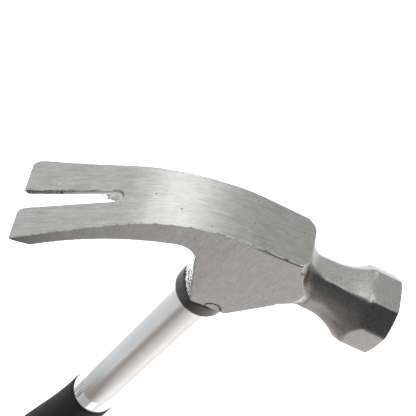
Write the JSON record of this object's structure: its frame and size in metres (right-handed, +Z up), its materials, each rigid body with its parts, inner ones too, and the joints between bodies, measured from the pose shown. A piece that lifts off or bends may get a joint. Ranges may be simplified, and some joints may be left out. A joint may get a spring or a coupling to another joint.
{
  "type": "claw hammer",
  "caption": "Curved-claw carpenter's hammer: forged steel head with an eight-sided poll, chromed tube handle, collar and soft black grip.",
  "frame": {"origin": "centre of the flat end of the butt", "axes": "+Z up the handle to the head, +X from the handle to the striking face, +Y across the head; the claws reach to -X"},
  "size_m": [0.1318, 0.0343, 0.32],
  "materials": {
    "forged_steel": "ground and brushed, clear lacquered, rough forged surface behind the socket",
    "chrome_tube": "bright chrome plate",
    "plug_steel": "plain turned steel",
    "collar_black": "smooth, half gloss",
    "grip_vinyl": "smooth dipped vinyl, satin",
    "plug_plastic": "moulded"
  },
  "bodies": {
    "root": {"head": "forged_steel", "handle_tube": "chrome_tube", "expander_plug": "plug_steel", "collar": "collar_black", "grip": "grip_vinyl", "tube_end_plug": "plug_plastic"}
  },
  "joints": []
}
